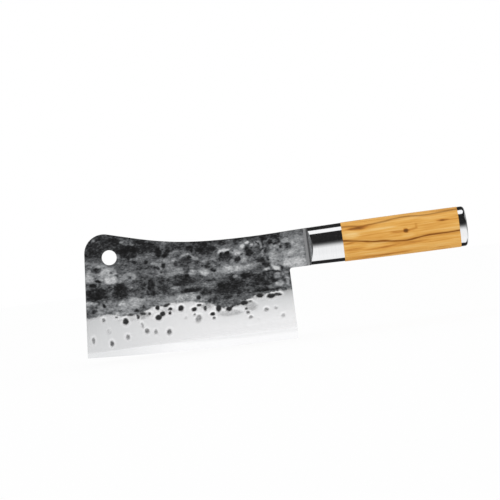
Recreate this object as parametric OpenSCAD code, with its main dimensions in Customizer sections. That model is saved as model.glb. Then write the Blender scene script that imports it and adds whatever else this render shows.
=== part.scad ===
// Forged kitchen cleaver with a hidden tang, an oval wooden handle, a steel bolster and a steel end cap.
// Millimetres. The origin is the centre of the hang hole, in the middle of the blade's thickness.
// +X runs along the handle to the butt, +Z is up with the cutting edge below, and Y is the thickness.

/* [Blade] */
// Length of the cutting edge, from the front corner to the heel
blade_l = 169.4; // [155:0.1:185]
// Height of the hang hole's centre above the heel end of the edge
hole_drop = 83.4; // [75:0.1:92]
// Distance from the hang hole's centre to the front edge, level with the hole
hole_front = 19.9; // [18:0.1:24]
// Radius of the hang hole
hole_r = 6; // [4:0.1:8]
// Lean of the front edge, in degrees
front_lean = 5.5; // [0:0.1:9]
// How much higher the edge's front corner lies than the heel
edge_rise = 5.6; // [3:0.1:9]
// Radius of the front top corner
nose_r = 15.8; // [13:0.1:18]
// Height of the blade's highest point above the hang hole's centre
nose_rise = 19.2; // [18:0.1:23]
// Angle at which the spine falls away behind the front top corner, in degrees
spine_fall = 15.6; // [12:0.1:18]
// How far the lowest point of the spine lies below the top of the neck
spine_sag = 0.9; // [0:0.1:2]
// Thickness of the blade
blade_t = 3; // [2.4:0.1:3.6]

/* [Ground faces and edge] */
// Height of the ground faces above the edge
grind_h = 40; // [32:0.5:48]
// Thickness that the ground faces alone would leave at the edge
grind_t = 1.1; // [0.8:0.05:1.4]
// Height of the cutting bevel
bevel_h = 4.5; // [3:0.1:6]
// Width of the flat left along the edge
edge_t = 0.2; // [0.1:0.05:0.3]

/* [Neck and tang] */
// Depth to which neck and tang are ground below the blade's faces, on each side
ricasso_cut = 0.1; // [0.05:0.05:0.3]
// How far this grinding reaches in front of the heel
ricasso_l = 13; // [8:0.5:20]
// Length of the neck between the heel and the bolster
neck_l = 14.5; // [10:0.1:20]
// Radius of the inside corner between heel and neck
heel_r = 2; // [1:0.1:5]
// Depth to which the bolster takes in the end of the neck
neck_seat = 6; // [4.5:0.1:9]
// Height of the tang where it leaves the neck
tang_h = 11; // [9:0.1:11.2]
// Height of the tang at its tip
tang_tip_h = 8.4; // [7:0.1:9]
// Length of the tang behind the neck
tang_l = 75.5; // [60:0.5:82]

/* [Handle] */
// Depth of the handle's axis below the hang hole's centre
axis_drop = 11.95; // [8:0.05:15]
// Height of the neck and of the bolster's front end
bolster_front_h = 30.1; // [28.5:0.1:31]
// Height of the bolster's rear end
bolster_rear_h = 31.1; // [29:0.1:32]
// Length of the bolster
bolster_l = 30.3; // [24:0.1:36]
// Length of the hollow shoulder in front of the bolster's barrel
shoulder_l = 4.2; // [3:0.1:6]
// Thickness of the lip that the shoulder leaves on each side of the neck
shoulder_lip = 0.5; // [0.3:0.1:1]
// Length of the wooden grip
wood_l = 93.6; // [88:0.1:105]
// Height of the wood at the bolster
wood_front_h = 31.4; // [30:0.1:33]
// Height of the wood at the middle of the grip
wood_middle_h = 32.2; // [31.5:0.1:34]
// Height of the wood at the end cap
wood_rear_h = 32.3; // [31:0.1:34]
// Width of the handle at the middle of the grip
handle_w = 22.6; // [21:0.1:26]
// Fullness of the oval, where 2 is an ellipse
fullness = 2.2; // [2:0.1:2.6]
// Rounding of the wood's two ends
wood_edge = 0.4; // [0.2:0.1:1]

/* [End cap] */
// Length of the end cap over its crown
cap_l = 6.9; // [6:0.1:10]
// Height of the end cap
cap_h = 32.1; // [30:0.1:33]
// Radius of the end cap's rounded corner
cap_corner_r = 2.8; // [1.5:0.1:3.2]
// Radius of the end cap's crowned face
cap_crown_r = 90; // [70:1:150]

/* [Stud and nut] */
// Diameter of the threaded stud
stud_d = 8; // [6:0.5:8]
// Length of the slot by which the stud straddles the tang
stud_slot_l = 12; // [9:0.5:16]
// Diameter of the cross rivet through stud and tang
rivet_d = 2.5; // [2:0.1:3]
// Width of the nut across its flats
nut_flats = 13; // [12:0.5:13.5]
// Thickness of the nut
nut_t = 4; // [3:0.1:4.5]
// Outside diameter of the washer
washer_d = 16; // [15:0.1:16.2]
// Thickness of the washer
washer_t = 1.6; // [1:0.1:2]
// Length of stud that stands out of the nut
stud_proud = 1.4; // [0.5:0.1:1.8]

/* [Bores and dowels] */
// Diameter of the bore that takes the tang and its resin
bore_d = 12; // [11.8:0.1:13]
// Depth of that bore past the tip of the tang
bore_past = 4; // [2:0.5:8]
// Diameter of the counterbore for washer and nut
counterbore_d = 16.6; // [16.4:0.1:17.4]
// Depth of the counterbore
counterbore_l = 8; // [7.6:0.1:11]
// Diameter of the dowels
dowel_d = 3; // [2:0.1:3.2]
// Length of the dowels between bolster and wood
bolster_dowel_l = 12; // [8:0.5:16]
// Length of the dowels between wood and end cap
cap_dowel_l = 7; // [5:0.1:8]

/* [Clearances] */
// Gap on each side of the neck and tang in the bolster, filled with solder
solder_gap = 0.05; // [0.03:0.01:0.1]
// Gap all round a dowel or rivet in its hole
pin_gap = 0.05; // [0.03:0.01:0.1]
// Gap round the stud in nut and washer
thread_gap = 0.1; // [0.05:0.05:0.2]
// Gap round the stud in the wood
stud_gap = 0.2; // [0.1:0.05:0.4]
// Gap beyond the end of a dowel
dowel_end_gap = 0.2; // [0.1:0.05:0.4]

/* [Hidden] */
$fn = 96;

// Overrun of every cut
over = 0.4;
// Steps in the outline's curves
nose_steps = 14;
spine_steps = 16;
neck_steps = 8;
edge_steps = 16;
heel_steps = 6;
shoulder_steps = 12;
swell_steps = 10;
corner_steps = 6;
crown_steps = 4;
oval_sides = 64;
// How much of the end cap's crown is left flat in the middle, as a share of its angle
crown_flat_share = 0.2;
// Where the spine is lowest, as a share of the way from the hang hole to the heel
spine_low_share = 0.83;
// Where the spine's two curve handles lie, as shares of the way from the front corner to the lowest point
spine_handle_shares = [0.336, 0.472];
// Where the neck's two curve handles lie, as shares of the way from the lowest point to the end of the neck
neck_handle_shares = [0.33, 0.67];

// Places along the blade and handle
edge_front_x = -hole_front - (hole_drop - edge_rise) * tan(front_lean);
heel_x = edge_front_x + blade_l;
bolster_x = heel_x + neck_l;
barrel_x = bolster_x + shoulder_l;
neck_end_x = bolster_x + neck_seat;
wood_x = bolster_x + bolster_l;
cap_x = wood_x + wood_l;
tang_tip_x = neck_end_x + tang_l;
bore_end_x = tang_tip_x + bore_past;
stud_x = tang_tip_x - stud_slot_l;
rivet_x = tang_tip_x - stud_slot_l / 2;
washer_x = cap_x - counterbore_l;
nut_x = washer_x + washer_t;
stud_end_x = nut_x + nut_t + stud_proud;

// Heights
axis_z = -axis_drop;
neck_top_z = axis_z + bolster_front_h / 2;
neck_bottom_z = axis_z - bolster_front_h / 2;

// Neck and tang share one ground thickness
neck_t = blade_t - 2 * ricasso_cut;

// The edge is a shallow arc that is lowest at the heel
edge_r = (blade_l * blade_l + edge_rise * edge_rise) / (2 * edge_rise);
edge_span = asin(blade_l / edge_r);
edge_centre_z = edge_r - hole_drop;
chord_angle = atan(edge_rise / blade_l);
edge_sag = edge_r * (1 - cos(edge_span / 2));

// The front top corner touches the leaning front edge and the falling spine
nose_z = nose_rise - nose_r;
nose_x = (nose_r + nose_z * sin(front_lean)) / cos(front_lean) - hole_front;
spine_start = [nose_x + nose_r * sin(spine_fall), nose_z + nose_r * cos(spine_fall)];
spine_low = [heel_x * spine_low_share, neck_top_z - spine_sag];
spine_run = spine_low[0] - spine_start[0];
spine_curve = [
    spine_start,
    spine_start + spine_run * spine_handle_shares[0] * [1, -tan(spine_fall)],
    [spine_start[0] + spine_run * spine_handle_shares[1], spine_low[1]],
    spine_low
];
neck_run = neck_end_x - spine_low[0];
neck_curve = [
    spine_low,
    [spine_low[0] + neck_run * neck_handle_shares[0], spine_low[1]],
    [spine_low[0] + neck_run * neck_handle_shares[1], neck_top_z],
    [neck_end_x, neck_top_z]
];

// Slopes of the ground faces and of the cutting bevel, for one side
grind_slope = (blade_t - grind_t) / 2 / grind_h;
bevel_top_t = grind_t + 2 * grind_slope * bevel_h;
bevel_slope = (bevel_top_t - edge_t) / 2 / bevel_h;

// The handle's section is an oval with one ratio of width to height all along
oval = handle_w / wood_middle_h;
barrel_h = bolster_front_h + (bolster_rear_h - bolster_front_h) * shoulder_l / bolster_l;
bolster_reach = max(bolster_front_h, bolster_rear_h) / 2 + over;
// The swell of the grip passes through its middle height halfway along
wood_swell_h = 2 * wood_middle_h - (wood_front_h + wood_rear_h) / 2;
front_dowel_z = (bore_d + bolster_rear_h) / 4;
rear_dowel_z = (counterbore_d + wood_rear_h) / 4;

// The end cap's corner runs smoothly into its crown
cap_corner_in = cap_h / 2 - cap_corner_r;
cap_crown_x = cap_l - cap_crown_r;
cap_corner_x = cap_crown_x + sqrt(pow(cap_crown_r - cap_corner_r, 2) - pow(cap_corner_in, 2));
cap_crown_angle = asin(cap_corner_in / (cap_crown_r - cap_corner_r));
crown_flat = cap_crown_angle * crown_flat_share;

// Points on an arc, from one angle to another
function arc(centre, r, from, to, steps, first = 0) = [
    for (i = [first:steps])
        let (a = from + (to - from) * i / steps)
        centre + r * [cos(a), sin(a)]
];

// Points on a cubic curve, walked backwards from its last point
function curve_back(p, steps, first = 0) = [
    for (i = [first:steps])
        let (t = 1 - i / steps, s = 1 - t)
        s * s * s * p[0] + 3 * s * s * t * p[1] + 3 * s * t * t * p[2] + t * t * t * p[3]
];

// Height of the wood at a share of its length
function wood_h(s) = (1 - s) * (1 - s) * wood_front_h + 2 * s * (1 - s) * wood_swell_h + s * s * wood_rear_h;

// Outline of the whole forging, as (x, z)
blade_outline = concat(
    arc([heel_x, edge_centre_z], edge_r, 270 - edge_span, 270, edge_steps),
    arc([heel_x + heel_r, neck_bottom_z - heel_r], heel_r, 180, 90, heel_steps),
    [
        [neck_end_x, neck_bottom_z],
        [neck_end_x, axis_z - tang_h / 2],
        [tang_tip_x, axis_z - tang_tip_h / 2],
        [tang_tip_x, axis_z + tang_tip_h / 2],
        [neck_end_x, axis_z + tang_h / 2]
    ],
    curve_back(neck_curve, neck_steps),
    curve_back(spine_curve, spine_steps, 1),
    arc([nose_x, nose_z], nose_r, 90 - spine_fall, 180 - front_lean, nose_steps, 1)
);

// A shape drawn as (x, z), spread evenly to both sides of the blade's middle plane
module across(t) {
    rotate([90, 0, 0]) linear_extrude(height = t, center = true) children();
}

// A round rod or hole along X, on the handle's axis
module along(x0, x1, d) {
    translate([x0, 0, axis_z]) rotate([0, 90, 0]) cylinder(h = x1 - x0, d = d);
}

// Points round the oval of a given height, as (y, z)
function oval_ring(h) = [
    for (i = [0:oval_sides - 1])
        let (c = cos(360 * i / oval_sides), s = sin(360 * i / oval_sides))
        h / 2 * [oval * sign(c) * pow(abs(c), 2 / fullness), sign(s) * pow(abs(s), 2 / fullness)]
];

// A solid with the oval's section, through stations given as [half height, distance from x0]
module oval_body(x0, stations) {
    n = oval_sides;
    last = len(stations) - 1;
    translate([x0, 0, axis_z])
        polyhedron(
            points = [for (st = stations) for (p = oval_ring(2 * st[0])) [st[1], p[0], p[1]]],
            faces = concat(
                [[for (i = [0:n - 1]) i]],
                [[for (i = [n - 1:-1:0]) last * n + i]],
                [
                    for (j = [0:last - 1]) for (i = [0:n - 1])
                        let (k = (i + 1) % n)
                        [j * n + i, (j + 1) * n + i, (j + 1) * n + k, j * n + k]
                ]
            )
        );
}

// A pair of dowels or dowel holes, above and below the handle's axis
module dowel_pair(middle_x, l, d, z) {
    for (side = [-1, 1]) translate([0, 0, side * z]) along(middle_x - l / 2, middle_x + l / 2, d);
}

// The tang as it lies in bolster, stud and resin
module tang_solid(t) {
    across(t) polygon([
        [neck_end_x, axis_z - tang_h / 2],
        [tang_tip_x, axis_z - tang_tip_h / 2],
        [tang_tip_x, axis_z + tang_tip_h / 2],
        [neck_end_x, axis_z + tang_h / 2]
    ]);
}

// What the grinding wheel takes off one side, lying along the straight line between the edge's two ends
module grind_cut() {
    low = edge_sag + over;
    past = bevel_h + over;
    translate([heel_x, 0, -hole_drop]) rotate([0, chord_angle, 0])
        translate([past, 0, 0]) rotate([90, 0, -90])
            linear_extrude(height = blade_l + grind_h * sin(front_lean) + 2 * past)
                polygon([
                    [-grind_t / 2 + low * grind_slope, -low],
                    [-blade_t / 2 - over * grind_slope, grind_h + over],
                    [-blade_t / 2 - over, grind_h + over],
                    [-blade_t / 2 - over, -low]
                ]);
}

// What sharpening takes off one side, following the arc of the edge
module bevel_cut() {
    margin = asin(bevel_h / edge_r);
    translate([heel_x, 0, edge_centre_z]) rotate([90, 0, 0]) rotate([0, 0, 270 - edge_span - margin])
        rotate_extrude(angle = edge_span + 2 * margin)
            polygon([
                [edge_r + over, edge_t / 2 - over * bevel_slope],
                [edge_r + over, bevel_top_t / 2 + over * bevel_slope],
                [edge_r - bevel_h - over, bevel_top_t / 2 + over * bevel_slope]
            ]);
}

// What is ground off one side of the neck and tang
module ricasso_cut_side() {
    x = heel_x - ricasso_l;
    z = neck_bottom_z - heel_r;
    translate([x, neck_t / 2, z]) cube([tang_tip_x + over - x, ricasso_cut + over, nose_rise + over - z]);
}

// One forging: blade, neck and hidden tang
module blade() {
    color([0.42, 0.43, 0.44])
    difference() {
        across(blade_t) polygon(blade_outline);
        across(blade_t + 2 * over) circle(r = hole_r);
        translate([rivet_x, 0, axis_z]) rotate([90, 0, 0])
            cylinder(h = blade_t + 2 * over, d = rivet_d + 2 * pin_gap, center = true);
        for (side = [0, 1]) mirror([0, side, 0]) {
            grind_cut();
            bevel_cut();
            ricasso_cut_side();
        }
    }
}

// What hollows one side of the bolster's front into a shoulder, seen from above
module shoulder_cut() {
    half_w = barrel_h * oval / 2;
    inner = neck_t / 2 + shoulder_lip;
    translate([0, 0, axis_z - bolster_reach]) linear_extrude(height = 2 * bolster_reach)
        polygon(concat(
            [
                for (i = [0:shoulder_steps])
                    let (a = 90 * i / shoulder_steps)
                    [bolster_x + shoulder_l * sin(a), half_w - (half_w - inner) * cos(a)]
            ],
            [
                [barrel_x, half_w + over],
                [bolster_x - over, half_w + over],
                [bolster_x - over, inner]
            ]
        ));
}

// Polished steel sleeve, slotted for the end of the neck and for the tang
module bolster() {
    slot_t = neck_t + 2 * solder_gap;
    color([0.75, 0.76, 0.78])
    difference() {
        oval_body(bolster_x, [
            [bolster_front_h / 2, 0],
            [bolster_rear_h / 2, bolster_l]
        ]);
        for (side = [0, 1]) mirror([0, side, 0]) shoulder_cut();
        translate([bolster_x - over, -slot_t / 2, axis_z - bolster_reach])
            cube([neck_seat + over, slot_t, 2 * bolster_reach]);
        translate([neck_end_x - over, -slot_t / 2, axis_z - tang_h / 2 - solder_gap])
            cube([bolster_l, slot_t, tang_h + 2 * solder_gap]);
        dowel_pair(wood_x, bolster_dowel_l + 2 * dowel_end_gap, dowel_d + 2 * pin_gap, front_dowel_z);
    }
}

// One piece of wood, bored for tang, stud, washer and nut
module handle_wood() {
    color([0.85, 0.62, 0.33])
    difference() {
        oval_body(wood_x, concat(
            [[wood_front_h / 2 - wood_edge, 0]],
            [
                for (i = [0:swell_steps])
                    let (s = i / swell_steps)
                    [wood_h(s) / 2, wood_edge + s * (wood_l - 2 * wood_edge)]
            ],
            [[wood_rear_h / 2 - wood_edge, wood_l]]
        ));
        along(wood_x - over, bore_end_x, bore_d);
        along(bore_end_x - over, cap_x + over, stud_d + 2 * stud_gap);
        along(washer_x, cap_x + over, counterbore_d);
        dowel_pair(wood_x, bolster_dowel_l + 2 * dowel_end_gap, dowel_d + 2 * pin_gap, front_dowel_z);
        dowel_pair(cap_x, cap_dowel_l + 2 * dowel_end_gap, dowel_d + 2 * pin_gap, rear_dowel_z);
    }
}

// Polished steel cap with a rounded corner and a slightly crowned face
module end_cap() {
    color([0.75, 0.76, 0.78])
    difference() {
        oval_body(cap_x, concat(
            [[cap_h / 2, 0]],
            arc([cap_corner_in, cap_corner_x], cap_corner_r, 0, 90 - cap_crown_angle, corner_steps),
            arc([0, cap_crown_x], cap_crown_r, 90 - cap_crown_angle, 90 - crown_flat, crown_steps, 1)
        ));
        dowel_pair(cap_x, cap_dowel_l + 2 * dowel_end_gap, dowel_d + 2 * pin_gap, rear_dowel_z);
    }
}

// Threaded stud, slotted at its front end to straddle the tip of the tang
module tang_stud() {
    slot_t = neck_t + 2 * solder_gap;
    color([0.62, 0.63, 0.65])
    difference() {
        along(stud_x, stud_end_x, stud_d);
        translate([stud_x - over, -slot_t / 2, axis_z - stud_d / 2 - over])
            cube([stud_slot_l + over, slot_t, stud_d + 2 * over]);
        translate([rivet_x, 0, axis_z]) rotate([90, 0, 0])
            cylinder(h = stud_d + 2 * over, d = rivet_d + 2 * pin_gap, center = true);
    }
}

// Cross rivet, filed flush with the stud
module stud_rivet() {
    l = sqrt(stud_d * stud_d - rivet_d * rivet_d) - 2 * pin_gap;
    color([0.7, 0.7, 0.72])
    translate([rivet_x, 0, axis_z]) rotate([90, 0, 0]) cylinder(h = l, d = rivet_d, center = true);
}

// Two pins that key the bolster to the wood
module bolster_dowels() {
    color([0.7, 0.7, 0.72])
    dowel_pair(wood_x, bolster_dowel_l, dowel_d, front_dowel_z);
}

// Resin that fills the wood's bore round tang and stud
module resin_bedding() {
    color([0.9, 0.85, 0.7])
    difference() {
        along(wood_x, bore_end_x, bore_d);
        tang_solid(neck_t);
        along(stud_x, bore_end_x + over, stud_d);
    }
}

// Washer on the floor of the counterbore
module butt_washer() {
    color([0.62, 0.63, 0.65])
    difference() {
        along(washer_x, nut_x, washer_d);
        along(washer_x - over, nut_x + over, stud_d + 2 * thread_gap);
    }
}

// Thin hexagon nut
module butt_nut() {
    color([0.62, 0.63, 0.65])
    difference() {
        translate([nut_x, 0, axis_z]) rotate([0, 90, 0]) cylinder(h = nut_t, d = nut_flats / cos(30), $fn = 6);
        along(nut_x - over, nut_x + nut_t + over, stud_d + 2 * thread_gap);
    }
}

// Two pins that key the end cap to the wood
module cap_dowels() {
    color([0.7, 0.7, 0.72])
    dowel_pair(cap_x, cap_dowel_l, dowel_d, rear_dowel_z);
}

blade();
bolster();
handle_wood();
end_cap();
tang_stud();
stud_rivet();
bolster_dowels();
resin_bedding();
butt_washer();
butt_nut();
cap_dowels();
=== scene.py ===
# Looks of the cleaver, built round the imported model, in metres and in its frame.
import math

import bpy
import numpy as np
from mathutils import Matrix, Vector, kdtree, noise


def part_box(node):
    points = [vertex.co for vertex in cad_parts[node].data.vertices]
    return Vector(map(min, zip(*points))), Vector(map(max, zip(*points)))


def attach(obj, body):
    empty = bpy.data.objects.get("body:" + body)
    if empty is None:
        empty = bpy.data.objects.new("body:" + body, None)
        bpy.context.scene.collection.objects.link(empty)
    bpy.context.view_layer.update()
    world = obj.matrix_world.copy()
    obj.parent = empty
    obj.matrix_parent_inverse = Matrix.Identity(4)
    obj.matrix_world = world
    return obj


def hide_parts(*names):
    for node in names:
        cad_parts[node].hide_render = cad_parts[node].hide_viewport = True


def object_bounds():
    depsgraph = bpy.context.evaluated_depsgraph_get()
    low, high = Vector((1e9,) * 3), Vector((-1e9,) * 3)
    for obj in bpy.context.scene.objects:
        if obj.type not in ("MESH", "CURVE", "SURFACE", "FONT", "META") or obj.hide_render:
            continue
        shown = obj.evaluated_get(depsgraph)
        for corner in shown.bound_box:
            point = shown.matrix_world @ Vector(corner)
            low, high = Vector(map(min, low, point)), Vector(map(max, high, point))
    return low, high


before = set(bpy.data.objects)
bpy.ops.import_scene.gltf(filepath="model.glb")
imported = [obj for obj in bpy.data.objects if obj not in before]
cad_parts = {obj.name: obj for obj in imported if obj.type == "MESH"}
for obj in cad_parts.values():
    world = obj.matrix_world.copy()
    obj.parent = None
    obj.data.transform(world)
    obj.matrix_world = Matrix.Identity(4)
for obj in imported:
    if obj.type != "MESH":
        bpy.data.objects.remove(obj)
cad_low, cad_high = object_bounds()
bpy.ops.object.select_all(action="DESELECT")
scene = bpy.context.scene
scene.view_settings.view_transform = "Standard"
MM = 0.001


# Camera
# The knife is seen square to its side from far away, with the butt raised. The hang hole is the
# frame's origin, and its place in the picture and the scale there say where the camera looks.
PICTURE_SIDE = 500
HOLE_PIXEL = (109.2, 257.7)
PIXEL = 0.8 * MM
HANDLE_RISE = math.radians(7.5)
LENS = 200
SENSOR = 36

picture_right = Vector((math.cos(HANDLE_RISE), 0, -math.sin(HANDLE_RISE)))
picture_up = Vector((math.sin(HANDLE_RISE), 0, math.cos(HANDLE_RISE)))
hole_to_middle = (PICTURE_SIDE / 2 - HOLE_PIXEL[0], HOLE_PIXEL[1] - PICTURE_SIDE / 2)
looked_at = (picture_right * hole_to_middle[0] + picture_up * hole_to_middle[1]) * PIXEL
camera_distance = PICTURE_SIDE * PIXEL * LENS / SENSOR
bpy.ops.object.camera_add(
    location=looked_at + Vector((0, -camera_distance, 0)),
    rotation=(math.radians(90), HANDLE_RISE, 0),
)
camera = bpy.context.object
camera.data.lens = LENS
camera.data.sensor_width = SENSOR
camera.data.clip_end = 100
scene.camera = camera


# Blade
# One forging of carbon steel: blade, neck and hidden flat tang. The hammer and the forge leave its
# upper part uneven and dark with scale. The lower part is ground bright on both sides down to a
# cutting bevel, and the deepest hammer marks stay in it as dark pits.
EDGE_LENGTH = 169.4 * MM
EDGE_RISE = 5.6 * MM
EDGE_FLAT = 0.2 * MM
BEVEL_HEIGHT = 3.6 * MM
BEVEL_HEIGHT_HEEL = 7.2 * MM
BEVEL_RISE_LENGTH = 60 * MM
BEVEL_TOP = 1.3 * MM
CREASE_BLEND = 0.2 * MM
CREASE_LEAST = 0.001 * MM
GROUND_HEIGHT = 42 * MM
GROUND_FULLNESS = 1.6
FRONT_LEAN = math.radians(5.5)
NOSE_RADIUS = 15.8 * MM
SPINE_FALL = math.radians(15.6)
SPINE_LOW = (117.9 * MM, 2.2 * MM)
SPINE_HANDLE_SHARES = (0.336, 0.472)
NECK_HEIGHT = 30.1 * MM
NECK_HANDLE_SHARES = (0.33, 0.67)
NECK_LENGTH = 20.5 * MM
NECK_CUT = 0.1 * MM
NECK_GROUND_LENGTH = 13 * MM
HEEL_RADIUS = 2 * MM
TANG_HEIGHT = 11 * MM
TANG_TIP_HEIGHT = 8.4 * MM
HOLE_RADIUS = 6 * MM
RIVET_HOLE_RADIUS = 1.3 * MM
BLADE_GRID = 0.7 * MM
RIM_WIDTH = 0.9 * MM
RIM_DROP = 0.22 * MM
HAMMER_DEPTH = 0.12 * MM
HAMMER_SIZE = 9 * MM
HAMMER_TONES = (0.05, 0.6)
PIT_DEPTH = 0.28 * MM
# Half thickness down to which the rim is eased and pits are sunk, so that the edge stays whole
RIM_LEAST_HALF = 0.5 * MM
PIT_LEAST_HALF = 0.3 * MM

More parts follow.
